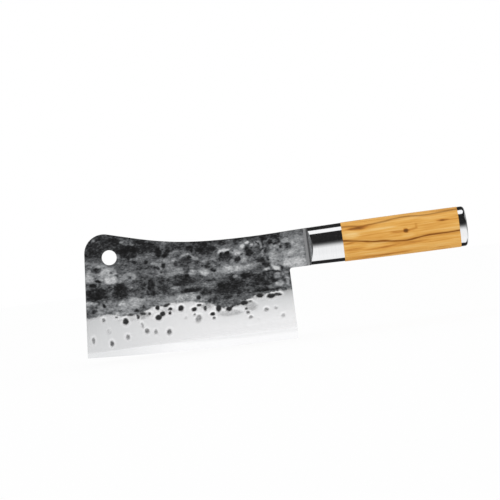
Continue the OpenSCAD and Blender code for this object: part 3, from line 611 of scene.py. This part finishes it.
# For a range that eases in and out
SOFT = {"interpolation_type": "SMOOTHSTEP"}
forged, tree, shader = new_material("forged_carbon_steel")
place = add(tree, "TexCoord", {})["Object"]
tone, ground, pit, rim, bevel_heights = (
    add(tree, "Attribute", {}, attribute_name=name)["Fac"] for name in MARKS
)
rolled = add(tree, "Mapping", {"Vector": place, "Scale": (0.6, 1, 1)})[0]
uneven = []
for size, depth in SCALE_NOISE:
    spread = add(tree, "TexNoise", {"Vector": rolled, "Scale": 1 / size, "Detail": 3})["Fac"]
    uneven.append(add(tree, "MapRange", {0: spread, 1: 0.28, 2: 0.72, 3: -depth, 4: depth})[0])
speck, blotch = uneven[:2]
for part in uneven:
    tone = add(tree, "Math", {0: tone, 1: part}, "ADD")[0]
scale_colour = add(
    tree, "ValToRGB", {"Fac": tone},
    stops=(
        (0.06, colour("#0d0d0e")), (0.84, colour("#e6e7e8")), (0.2, colour("#303133")),
        (0.4, colour("#6d6f71")), (0.6, colour("#a7a9ab")),
    ),
)["Color"]
lines = (1 / GRINDING_LINE[0], 1, 1 / GRINDING_LINE[1])
stretched = add(tree, "Mapping", {"Vector": place, "Scale": lines})[0]
streak = add(tree, "TexNoise", {"Vector": stretched, "Scale": 1, "Detail": 2})["Fac"]
parts = add(tree, "SeparateXYZ", {"Vector": place})
painted_reflection_along = add(tree, "MapRange", {0: parts["X"], 1: blade_low.x, 2: FRONT_GREY_END}, **SOFT)[0]
grinding_lines_and_painted_light = add(tree, "Math", {0: streak, 1: 0.3, 2: 0.15}, "MULTIPLY_ADD")[0]
# Painted reflection: the ground face is greyer towards the front
grinding_lines_and_painted_light = add(tree, "Math", {0: painted_reflection_along, 1: 0.7, 2: grinding_lines_and_painted_light}, "MULTIPLY_ADD")[0]
# Painted shade on the ground face below the scale, added to the grinding lines
to_scale = add(tree, "MapRange", {0: parts["Z"], 1: PAINTED_SHADE_HEIGHTS[0], 2: PAINTED_SHADE_HEIGHTS[1]})[0]
to_scale = add(tree, "Math", {0: to_scale, 1: 1.5}, "POWER")[0]
painted_shade = add(
    tree, "MapRange",
    {0: parts["X"], 1: PAINTED_SHADE_PLACES[0], 2: PAINTED_SHADE_PLACES[1], 3: PAINTED_SHADE_SHARES[0], 4: PAINTED_SHADE_SHARES[1]}, **SOFT,
)[0]
grinding_lines_and_painted_light = add(tree, "Math", {0: to_scale, 1: painted_shade, 2: grinding_lines_and_painted_light}, "MULTIPLY_ADD")[0]
ground_colour = add(
    tree, "ValToRGB", {"Fac": grinding_lines_and_painted_light},
    stops=((0, colour("#cfd0d1")), (1, colour("#fbfbfc")), (0.3, colour("#e9eaeb"))),
)["Color"]
towards_heel = add(tree, "MapRange", {0: parts["X"], 1: POLISH_AND_PAINTED_BRIGHT_PLACES[0], 2: POLISH_AND_PAINTED_BRIGHT_PLACES[1]})[0]
towards_edge = add(tree, "MapRange", {0: parts["Z"], 1: PAINTED_BRIGHT_HEIGHTS[0], 2: PAINTED_BRIGHT_HEIGHTS[1]})[0]
painted_brightening = add(tree, "Math", {0: towards_heel, 1: towards_edge}, "MULTIPLY")[0]
fade_end = add(tree, "MapRange", {0: towards_heel, 3: BEVEL_FADE[1], 4: BEVEL_FADE[2]})[0]
above_bevel = add(tree, "MapRange", {0: bevel_heights, 1: BEVEL_FADE[0], 2: fade_end})[0]
past_front = add(tree, "MapRange", {0: parts["X"], 1: HONED_PLACES[0], 2: HONED_PLACES[1]})[0]
honed = add(tree, "MapRange", {0: above_bevel, 3: past_front, 4: 0})[0]
ragged = add(tree, "Math", {0: ground, 1: blotch}, "ADD")[0]
ragged = add(tree, "Math", {0: ragged, 1: speck}, "ADD")[0]
bright = add(tree, "MapRange", {0: ragged, 1: 0.15, 2: 0.85}, **SOFT)[0]
sunk = add(tree, "Math", {0: pit, 1: speck}, "ADD")[0]
dark = add(tree, "MapRange", {0: sunk, 1: 0.08, 2: 1}, **SOFT)[0]
steel = add(tree, "Mix", {0: bright, 6: scale_colour, 7: ground_colour}, data_type="RGBA")[2]
# Painted highlight: the rims round the deeper pits are whitened and given less metal
painted_pit_highlight = add(tree, "Math", {0: rim, 1: bright}, "MULTIPLY")[0]
steel = add(tree, "Mix", {0: painted_pit_highlight, 6: steel, 7: colour("#fcfcfd")}, data_type="RGBA")[2]
steel = add(tree, "Mix", {0: dark, 6: steel, 7: colour("#2a2a2b")}, data_type="RGBA")[2]
clean = add(tree, "Math", {0: 1, 1: dark}, "SUBTRACT")[0]
clean = add(tree, "Math", {0: clean, 1: bright}, "MULTIPLY")[0]
# Painted reflection: less metal makes the ground face paler towards heel and edge
metal = add(tree, "MapRange", {0: painted_brightening, 3: 0.5, 4: 0.3})[0]
metal = add(tree, "Math", {0: painted_pit_highlight, 1: -0.3, 2: metal}, "MULTIPLY_ADD")[0]
metal = add(tree, "MapRange", {0: above_bevel, 3: 0.9, 4: metal})[0]
rough = add(tree, "MapRange", {0: towards_heel, 3: GROUND_ROUGHNESS[0], 4: GROUND_ROUGHNESS[1]})[0]
rough = add(tree, "MapRange", {0: honed, 3: rough, 4: HONED_ROUGHNESS})[0]
rough = add(tree, "MapRange", {0: clean, 3: SCALE_ROUGHNESS, 4: rough})[0]
relief = add(tree, "MapRange", {0: clean, 3: 0.5, 4: 0.03})[0]
bump = add(tree, "Bump", {"Height": blotch, "Strength": relief, "Distance": 0.15 * MM})[0]
feed(shader, {"Base Color": steel, "Metallic": metal, "Roughness": rough, "Normal": bump})
coat(blade, forged)
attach(blade, "root")
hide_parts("blade")


# Bolster
# A sleeve of polished steel, slotted over the end of the neck. Its front falls to the neck in a
# curved shoulder on each side, and its rear end meets the wood flush.
BOLSTER_FRONT = 30.1 * MM
BOLSTER_REAR = 31.1 * MM
GRIP_WIDTH_SHARE = 22.6 / 32.2
OVAL_FULLNESS = 2.2
CORNER_STEPS = 44
SHOULDER_LIP = 0.5 * MM
SHOULDER_LENGTH = 6 * MM
# What is cut away at the shoulder, seen from above: share of the way back, share of the way out
SHOULDER_PLAN = (
    (-0.1, 0), (0.2, 0.005), (0.3, 0.015), (0.37, 0.035), (0.42, 0.07), (0.46, 0.13), (0.49, 0.21),
    (0.52, 0.31), (0.555, 0.43), (0.6, 0.55), (0.66, 0.67), (0.73, 0.78), (0.81, 0.87), (0.9, 0.94),
    (1, 1), (1.08, 1.05), (-0.1, 1.05),
)
SOLDER_GAP = 0.05 * MM
BOLSTER_BREAK = 0.15 * MM
PIN_GAP = 0.05 * MM
PIN_END_GAP = 0.2 * MM
# How far a tool reaches past what it cuts
PAST = 1 * MM


def oval_bar(name, stations):
    """A closed bar with the handle's oval section, through stations of place along X and height."""
    first_x, first_height = stations[0]
    centre = (first_x, 0, AXIS_Z)
    bpy.ops.mesh.primitive_plane_add(size=1, location=centre, rotation=(0, math.radians(90), 0))
    bar = bpy.context.object
    bar.name = name
    bpy.ops.object.transform_apply()
    open_mesh()
    widen = (1, first_height * GRIP_WIDTH_SHARE, first_height)
    bpy.ops.transform.resize(value=widen, center_override=centre)
    bpy.ops.mesh.bevel(
        offset_type="PERCENT", offset_pct=50, segments=CORNER_STEPS, affect="VERTICES",
        profile=2 ** (-2 / OVAL_FULLNESS), clamp_overlap=False,
    )
    bpy.ops.mesh.remove_doubles(threshold=0.001 * MM)
    bpy.ops.mesh.select_all(action="SELECT")
    for (from_x, from_height), (to_x, to_height) in zip(stations, stations[1:]):
        draw_out(to_x - from_x, 0, 0)
        grow = to_height / from_height
        bpy.ops.transform.resize(value=(1, grow, grow), center_override=(to_x, 0, AXIS_Z))
    close_mesh()
    return bar


def bore_pins(piece, node):
    """Drills a piece for the two pins of a CAD node, with their gaps."""
    low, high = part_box(node)
    radius = high.y
    for z in (low.z + radius, high.z - radius):
        start = Vector((low.x - PIN_END_GAP, 0, z))
        end = Vector((high.x + PIN_END_GAP, 0, z))
        cut(piece, rod(start, end, radius + PIN_GAP, 48))


def block(low, high):
    """A plain square tool between two corners."""
    bpy.ops.mesh.primitive_cube_add(size=1, location=(low + high) / 2)
    bpy.context.object.scale = high - low
    bpy.ops.object.transform_apply()
    return bpy.context.object


def break_edges(piece, width, steps, angle=50):
    """Rounds a piece's sharp edges and shades it smooth, with the wide faces left true."""
    modifier = piece.modifiers.new("edges", "BEVEL")
    modifier.width = width
    modifier.segments = steps
    modifier.angle_limit = math.radians(angle)
    bpy.ops.object.select_all(action="DESELECT")
    piece.select_set(True)
    bpy.context.view_layer.objects.active = piece
    bpy.ops.object.modifier_apply(modifier=modifier.name)
    bpy.ops.object.shade_smooth_by_angle(angle=math.radians(35))
    modifier = piece.modifiers.new("normals", "WEIGHTED_NORMAL")
    modifier.keep_sharp = True
    bpy.ops.object.modifier_apply(modifier=modifier.name)


bolster = oval_bar("steel_bolster", [(bolster_low.x, BOLSTER_FRONT), (bolster_high.x, BOLSTER_REAR)])
bolster_length = bolster_high.x - bolster_low.x
barrel_height = BOLSTER_FRONT + (BOLSTER_REAR - BOLSTER_FRONT) * SHOULDER_LENGTH / bolster_length
half_width = barrel_height * GRIP_WIDTH_SHARE / 2
half_neck = HALF_BLADE - NECK_CUT
hollow_depth = half_width - half_neck - SHOULDER_LIP
for side in (-1, 1):
    bpy.ops.mesh.primitive_circle_add(vertices=len(SHOULDER_PLAN), fill_type="NGON", location=(0, 0, 0))
    tool = bpy.context.object
    for vertex, (back, out) in zip(tool.data.vertices, SHOULDER_PLAN):
        y = side * (half_neck + SHOULDER_LIP + hollow_depth * out)
        vertex.co = (bolster_low.x + SHOULDER_LENGTH * back, y, bolster_low.z - PAST)
    open_mesh()
    draw_out(0, 0, bolster_high.z - bolster_low.z + 2 * PAST)
    close_mesh()
    cut(bolster, tool)
half_slot = half_neck + SOLDER_GAP
slot_low = Vector((bolster_low.x - PAST, -half_slot, bolster_low.z - PAST))
cut(bolster, block(slot_low, Vector((neck_end_x, half_slot, bolster_high.z + PAST))))
tang_low = Vector((neck_end_x - PAST, -half_slot, AXIS_Z - tang_root - SOLDER_GAP))
tang_high = Vector((bolster_high.x + PAST, half_slot, AXIS_Z + tang_root + SOLDER_GAP))
cut(bolster, block(tang_low, tang_high))
bore_pins(bolster, "bolster_dowels")
break_edges(bolster, BOLSTER_BREAK, 2, 40)

# Mirror-polished stainless steel: clear reflections, with faint haze left by the buffing wheel. The
# front of the shoulder, where the wheel doesn't reach, stays satin.
SATIN_LENGTH = 2.6 * MM
SATIN_FADE = 0.6 * MM
# Width and length of the buffing lines round the handle, coarser than the real ones too
BUFFING_LINE = (0.6 * MM, 20 * MM)
polished, tree, shader = new_material("polished_stainless_steel")
place = add(tree, "TexCoord", {})["Object"]
lines = (1 / BUFFING_LINE[0], 1 / BUFFING_LINE[1], 1 / BUFFING_LINE[1])
stretched = add(tree, "Mapping", {"Vector": place, "Scale": lines})[0]
haze = add(tree, "TexNoise", {"Vector": stretched, "Scale": 1, "Detail": 3})["Fac"]
rough = add(tree, "MapRange", {0: haze, 1: 0.3, 2: 0.7, 3: 0.04, 4: 0.09})[0]
tones = ((0.3, colour("#e5e6e7")), (0.7, colour("#ebebec")))
tint = add(tree, "ValToRGB", {"Fac": haze}, stops=tones)["Color"]
parts = add(tree, "SeparateXYZ", {"Vector": place})
satin_end = bolster_low.x + SATIN_LENGTH
satin = add(tree, "MapRange", {0: parts["X"], 1: satin_end, 2: satin_end + SATIN_FADE, 3: 1, 4: 0})[0]
rough = add(tree, "MapRange", {0: satin, 3: rough, 4: 0.4})[0]
tint = add(tree, "Mix", {0: satin, 6: tint, 7: colour("#bebfc0")}, data_type="RGBA")[2]
feed(shader, {"Base Color": tint, "Metallic": 1, "Roughness": rough})
coat(bolster, polished)
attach(bolster, "root")
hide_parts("bolster")


# Stud, rivet, washer, nut and pins
# Plain turned and zinc-plated steel inside the handle. The stud straddles the tang and is riveted
# to it, the nut pulls blade, bolster and wood together, and the pins stop the ends from turning.
PLATING_SPOT = 1.5 * MM
plated, tree, shader = new_material("zinc_plated_steel")
place = add(tree, "TexCoord", {})["Object"]
spots = add(tree, "TexNoise", {"Vector": place, "Scale": 1 / PLATING_SPOT, "Detail": 3})["Fac"]
tones = ((0.35, colour("#a9acb0")), (0.65, colour("#c9ccd0")))
tint = add(tree, "ValToRGB", {"Fac": spots}, stops=tones)["Color"]
rough = add(tree, "MapRange", {0: spots, 3: 0.28, 4: 0.42})[0]
feed(shader, {"Base Color": tint, "Metallic": 1, "Roughness": rough})
for name in ("tang_stud", "stud_rivet", "butt_washer", "butt_nut", "bolster_dowels", "cap_dowels"):
    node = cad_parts[name]
    coat(node, plated)


# Resin bedding
# Cast resin that was poured into the bore round tang and stud. It has set amber, with a slight
# cloudiness and a smooth skin where it met the wood.
RESIN_CLOUD = 4 * MM
resin, tree, shader = new_material("cast_resin")
place = add(tree, "TexCoord", {})["Object"]
clouds = add(tree, "TexNoise", {"Vector": place, "Scale": 1 / RESIN_CLOUD, "Detail": 2})["Fac"]
tones = ((0.3, colour("#c9a968")), (0.7, colour("#dcc287")))
tint = add(tree, "ValToRGB", {"Fac": clouds}, stops=tones)["Color"]
feed(shader, {"Base Color": tint, "Roughness": 0.35})
coat(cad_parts["resin_bedding"], resin)


# Wooden grip
# One piece of olive wood, sanded to a smooth oval that swells a little towards the butt, bored for
# tang, stud and nut, and finished with oil. Its dark lines run along the grip round one small knot.
GRIP_FRONT = 31.4 * MM
GRIP_MIDDLE = 32.2 * MM
GRIP_REAR = 32.3 * MM
GRIP_STEPS = 60
GRIP_BREAK = 0.4 * MM
STUD_GAP = 0.2 * MM
COUNTERBORE_GAP = 0.3 * MM
# Streaks and the knot, placed as the blade's patches are, but each with how much it darkens the wood.
# They fade over the crown and the underside, between these distances from the middle plane.
STREAK_FADE = (0.5 * MM, 3 * MM)
WOOD_STREAKS = (
    (198.5, -3.2, 7.5, 1.3, 0.22, -4), (203, -2.2, 6, 0.9, 0.12, -4), (204, -1.3, 13, 0.9, 0.14, 3),
    (192, -13.8, 4.5, 0.8, 0.16, 3), (194, -8, 7, 3, -0.1), (196, -18.8, 9, 1, 0.13, 2),
    (194, -21.2, 6, 0.8, 0.12, 2), (214, -20.5, 14, 0.8, 0.1, 3), (224, -19.6, 9, 0.7, 0.1, 3),
    (210, -26.3, 16, 0.8, 0.09), (228, -25.8, 12, 0.7, 0.12), (237.6, -9.3, 2.3, 1.9, 0.46, -20),
    (231.5, -9.5, 7, 1, 0.18), (242.8, -8.8, 4.5, 1, 0.18, 8), (246, -6.6, 1.1, 2.4, 0.13, -15),
    (239, -13, 6, 1.6, -0.09), (267.5, -4.9, 5.5, 0.9, 0.2), (267.3, -4.9, 2, 0.9, 0.12),
    (244, -19.2, 12, 0.8, 0.1, 2), (262, -20.6, 14, 0.8, 0.1, 1), (270, -25.4, 12, 0.8, 0.1, 2),
    (262, -9, 14, 2.6, 0.05), (222, -5, 12, 2.4, -0.04),
)

wood_low, wood_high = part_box("handle_wood")
wood_length = wood_high.x - wood_low.x
swell = 2 * GRIP_MIDDLE - (GRIP_FRONT + GRIP_REAR) / 2
stations = []
for i in range(GRIP_STEPS + 1):
    s = i / GRIP_STEPS
    station_height = (1 - s) ** 2 * GRIP_FRONT + 2 * s * (1 - s) * swell + s * s * GRIP_REAR
    stations.append((wood_low.x + s * wood_length, station_height))
grip = oval_bar("olive_wood_grip", stations)
resin_low, resin_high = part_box("resin_bedding")
stud_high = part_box("tang_stud")[1]
washer_low, washer_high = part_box("butt_washer")
bores = (
    (resin_low.x - PAST, resin_high.x, resin_high.y),
    (resin_high.x - PAST, washer_low.x + PAST, stud_high.y + STUD_GAP),
    (washer_low.x, wood_high.x + PAST, washer_high.y + COUNTERBORE_GAP),
)
for start_x, end_x, radius in bores:
    cut(grip, rod(Vector((start_x, 0, AXIS_Z)), Vector((end_x, 0, AXIS_Z)), radius))
bore_pins(grip, "bolster_dowels")
bore_pins(grip, "cap_dowels")
break_edges(grip, GRIP_BREAK, 2)
points = np.array([v.co for v in grip.data.vertices])
along = np.where(points[:, 1] < 0, points[:, 0], wood_low.x + wood_high.x - points[:, 0]) / MM
flank = smooth(np.abs(points[:, 1]), *STREAK_FADE)
streak_tone = np.zeros(len(points))
for streak in WOOD_STREAKS:
    streak_tone += streak[4] * flank * patch_share(along, points[:, 2] / MM, streak)
attribute = grip.data.attributes.new("streak_tone", "FLOAT", "POINT")
attribute.data.foreach_set("value", streak_tone.astype(np.float32))

# Oiled olive wood: honey-coloured with fine darker grain and a few brown lines, under a soft sheen.
# The fine grain and the broad figure, each with its length and its width:
GRAIN = (26 * MM, 0.8 * MM)
GRAIN_LEAN = math.radians(1.5)
FIGURE = (50 * MM, 4 * MM)
# The brown lines: for their core and their halo the distance where each starts to fade, the distance
# where it ends and its strength, then how far noise moves the lines, and how much lower they run on
# the right side for each step outwards
VEIN_BANDS = ((0.1 * MM, 0.95 * MM, 0.82), (0.2 * MM, 2.2 * MM, 0.3))
VEIN_WOBBLE = 1 * MM
VEIN_LEAN = 0.6
# Each brown line: its strength, and its points along and up, in millimetres from the hang hole
VEINS = (
    (0.6, (
        (186, -0.2), (196, -0.7), (203, -1.5), (209, -1), (216, -0.3), (223, 0.3), (233, 1.5),
        (243, 1.7), (255, 1), (267, 1.6), (282, 2.2),
    )),
    (0.95, (
        (186, -11.2), (195, -12.2), (201, -13.2), (207, -14.3), (220, -15.3), (231, -16.8),
        (238, -17.2), (246, -16.4), (256, -15.4), (264, -15.3), (282, -14.8),
    )),
)
wood, tree, shader = new_material("oiled_olive_wood")
place = add(tree, "TexCoord", {})["Object"]
parts = add(tree, "SeparateXYZ", {"Vector": place})
streaks = add(tree, "Attribute", {}, attribute_name="streak_tone")["Fac"]
fibres = (1 / GRAIN[0], 1 / GRAIN[1], 1 / GRAIN[1])
stretched = add(tree, "Mapping", {"Vector": place, "Rotation": (0, GRAIN_LEAN, 0), "Scale": fibres})[0]
grain = add(tree, "TexNoise", {"Vector": stretched, "Scale": 1, "Detail": 4, "Distortion": 0.4})["Fac"]
rings = (1 / FIGURE[0], 1 / FIGURE[1], 1 / FIGURE[1])
stretched = add(tree, "Mapping", {"Vector": place, "Scale": rings})[0]
figure = add(tree, "TexNoise", {"Vector": stretched, "Scale": 1, "Detail": 3, "Distortion": 0.8})["Fac"]
mixed = add(tree, "Math", {0: grain, 1: 0.5}, "MULTIPLY")[0]
mixed = add(tree, "Math", {0: figure, 1: 0.5, 2: mixed}, "MULTIPLY_ADD")[0]
mixed = add(tree, "Math", {0: mixed, 1: streaks}, "SUBTRACT")[0]
ground_tone = add(
    tree, "ValToRGB", {"Fac": mixed},
    stops=(
        (0.05, colour("#724611")), (0.75, colour("#f5d290")), (0.25, colour("#b8752b")),
        (0.4, colour("#d89943")), (0.52, colour("#e7af58")),
    ),
)["Color"]
share_along = add(tree, "MapRange", {0: parts["X"], 1: wood_low.x, 2: wood_high.x})[0]
behind = add(tree, "Math", {0: parts["Y"], 1: 0}, "MAXIMUM")[0]
leaned = add(tree, "Math", {0: behind, 1: VEIN_LEAN, 2: parts["Z"]}, "MULTIPLY_ADD")[0]
wobble = add(tree, "MapRange", {0: figure, 3: -VEIN_WOBBLE, 4: VEIN_WOBBLE})[0]
wood_height = wood_high.z - wood_low.z
veins = []
for strength, vein in VEINS:
    shares = [
        ((x * MM - wood_low.x) / wood_length, (z * MM - wood_low.z) / wood_height) for x, z in vein
    ]
    line = add(tree, "FloatCurve", {"Value": share_along}, points=shares)[0]
    height = add(tree, "MapRange", {0: line, 3: wood_low.z, 4: wood_high.z})[0]
    off = add(tree, "Math", {0: leaned, 1: height}, "SUBTRACT")[0]
    off = add(tree, "Math", {0: off, 1: wobble}, "ADD")[0]
    off = add(tree, "Math", {0: off}, "ABSOLUTE")[0]
    bands = []
    for start, end, share in VEIN_BANDS:
        fade = {0: off, 1: start, 2: end, 3: share * strength, 4: 0}
        bands.append(add(tree, "MapRange", fade, **SOFT)[0])
    veins.append(add(tree, "Math", {0: bands[0], 1: bands[1]}, "ADD")[0])
vein_share = add(tree, "Math", {0: veins[0], 1: veins[1]}, "MAXIMUM")[0]
veined = add(tree, "Mix", {0: vein_share, 6: ground_tone, 7: colour("#854a02")}, data_type="RGBA")[2]
rough = add(tree, "MapRange", {0: grain, 3: 0.52, 4: 0.4})[0]
bump = add(tree, "Bump", {"Height": grain, "Strength": 0.12, "Distance": 0.1 * MM})[0]
feed(shader, {"Base Color": veined, "Roughness": rough, "Specular IOR Level": 0.2, "Normal": bump})
coat(grip, wood)
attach(grip, "root")
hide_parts("handle_wood")


# End cap
# A solid cap of the bolster's polished steel, with a rounded corner and a slightly crowned face,
# pinned to the wood.
CAP_HEIGHT = 32.1 * MM
CAP_LENGTH = 6.9 * MM
CAP_CORNER = 2.8 * MM
CAP_CROWN = 90 * MM
CAP_CORNER_STEPS = 10
CAP_CROWN_STEPS = 8
CAP_CROWN_END_SHARE = 0.06

cap_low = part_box("end_cap")[0]
corner_in = CAP_HEIGHT / 2 - CAP_CORNER
crown_x = cap_low.x + CAP_LENGTH - CAP_CROWN
corner_x = crown_x + math.sqrt((CAP_CROWN - CAP_CORNER) ** 2 - corner_in**2)
crown_angle = math.asin(corner_in / (CAP_CROWN - CAP_CORNER))
stations = [(cap_low.x, CAP_HEIGHT)]
for i in range(CAP_CORNER_STEPS + 1):
    a = (math.pi / 2 - crown_angle) * i / CAP_CORNER_STEPS
    stations.append((corner_x + CAP_CORNER * math.sin(a), 2 * (corner_in + CAP_CORNER * math.cos(a))))
for i in range(1, CAP_CROWN_STEPS + 1):
    a = crown_angle * (1 - (1 - CAP_CROWN_END_SHARE) * i / CAP_CROWN_STEPS)
    stations.append((crown_x + CAP_CROWN * math.cos(a), 2 * CAP_CROWN * math.sin(a)))
cap = oval_bar("steel_end_cap", stations)
bore_pins(cap, "cap_dowels")
break_edges(cap, BOLSTER_BREAK, 2, 70)
coat(cap, polished)
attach(cap, "root")
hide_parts("end_cap")


# Floor
# A plain pale studio floor under the edge. It is white to the camera and keeps a soft shadow.
FLOOR_SIDE = 12
FLOOR_GAP = 0.05 * MM
FLOOR_GLOW_SHARE = 0.88
bpy.ops.mesh.primitive_plane_add(size=FLOOR_SIDE, location=(0, 0, cad_low.z - FLOOR_GAP))
floor = bpy.context.object
floor.name = "studio_floor"
floor.visible_glossy = False
white, tree, shader = new_material("white_floor_paint")
feed(shader, {"Base Color": colour("#f4f4f4"), "Roughness": 0.9, "Specular IOR Level": 0})
rays = add(tree, "LightPath", {})
glow = add(tree, "Emission", {"Strength": 1})[0]
seen = add(tree, "Math", {0: rays["Is Camera Ray"], 1: FLOOR_GLOW_SHARE}, "MULTIPLY")[0]
both = add(tree, "MixShader", {0: seen, 1: shader.outputs[0], 2: glow})[0]
feed(tree.nodes["Material Output"], {"Surface": both})
coat(floor, white)


# Studio
# An even white surround lights the knife. Polished steel sees what stands round a product table:
# pale boards below, black cloth above them and past the blade's front, and a bright strip on each
# side, high in front of the knife and low behind it.
LAMP_POWER = 1.2
LAMP_SIDE = 0.8
LAMP_PLACE = (-0.5, -1, 1.2)
LAMP_AIM = (0.13, 0, -0.03)
# Where the cloth past the front starts and ends, how much of the view it takes there, and its grey
CLOTH = (-0.62, -0.8, 0.75, 0.03)
world = bpy.data.worlds.new("studio")
scene.world = world
world.use_nodes = True
tree = world.node_tree
tree.nodes.clear()
direction = add(tree, "SeparateXYZ", {"Vector": add(tree, "TexCoord", {})["Generated"]})
rise = add(tree, "Math", {0: direction["Z"]}, "ARCSINE")[0]
rise = add(tree, "MapRange", {0: rise, 1: -math.pi / 2, 2: math.pi / 2})[0]


def grey(level):
    """A grey of this linear brightness, 1 for white."""
    return (level, level, level, 1)


# Elevation in degrees and brightness there, in front of the knife and behind it, the two ends first
FRONT_SURROUND = (
    (-90, 0.02), (90, 0.02), (-86, 0.02), (-83, 1.08), (-50, 1.1), (-30, 1.05), (-12, 1.05),
    (-9, 1.02), (-7, 0.91), (-3, 0.68), (0, 0.32), (3, 0.09), (8, 0.02), (52, 0.02), (55, 1.15),
    (84, 1.15), (86, 0.02),
)
BACK_SURROUND = (
    (-90, 0.02), (90, 0.02), (-32, 0.02), (-28, 1), (-12, 1), (-7, 0.9), (-3, 0.6), (0, 0.25),
    (3, 0.08), (8, 0.02), (11, 0.8), (20, 0.8), (22, 0.02),
)
boards = []
for surround in (FRONT_SURROUND, BACK_SURROUND):
    stops = [((angle + 90) / 180, grey(level)) for angle, level in surround]
    boards.append(add(tree, "ValToRGB", {"Fac": rise}, stops=stops)["Color"])
behind = add(tree, "MapRange", {0: direction["Y"], 1: -0.04, 2: 0.04})[0]
seen = add(tree, "Mix", {0: behind, 6: boards[0], 7: boards[1]}, data_type="RGBA")[2]
cloth = add(tree, "MapRange", {0: direction["X"], 1: CLOTH[0], 2: CLOTH[1], 4: CLOTH[2]})[0]
seen = add(tree, "Mix", {0: cloth, 6: seen, 7: grey(CLOTH[3])}, data_type="RGBA")[2]
rays = add(tree, "LightPath", {})
even = add(tree, "Background", {"Color": grey(1), "Strength": 1})[0]
mirrored = add(tree, "Background", {"Color": seen, "Strength": 1})[0]
lit = add(tree, "MixShader", {0: rays["Is Glossy Ray"], 1: even, 2: mirrored})[0]
lit = add(tree, "MixShader", {0: rays["Is Camera Ray"], 1: lit, 2: even})[0]
add(tree, "OutputWorld", {"Surface": lit})

bpy.ops.object.light_add(type="AREA", location=LAMP_PLACE)
lamp = bpy.context.object
lamp.data.size = LAMP_SIDE
lamp.data.energy = LAMP_POWER
lamp.visible_glossy = False
lamp.rotation_euler = (Vector(LAMP_AIM) - lamp.location).to_track_quat("-Z", "Y").to_euler()
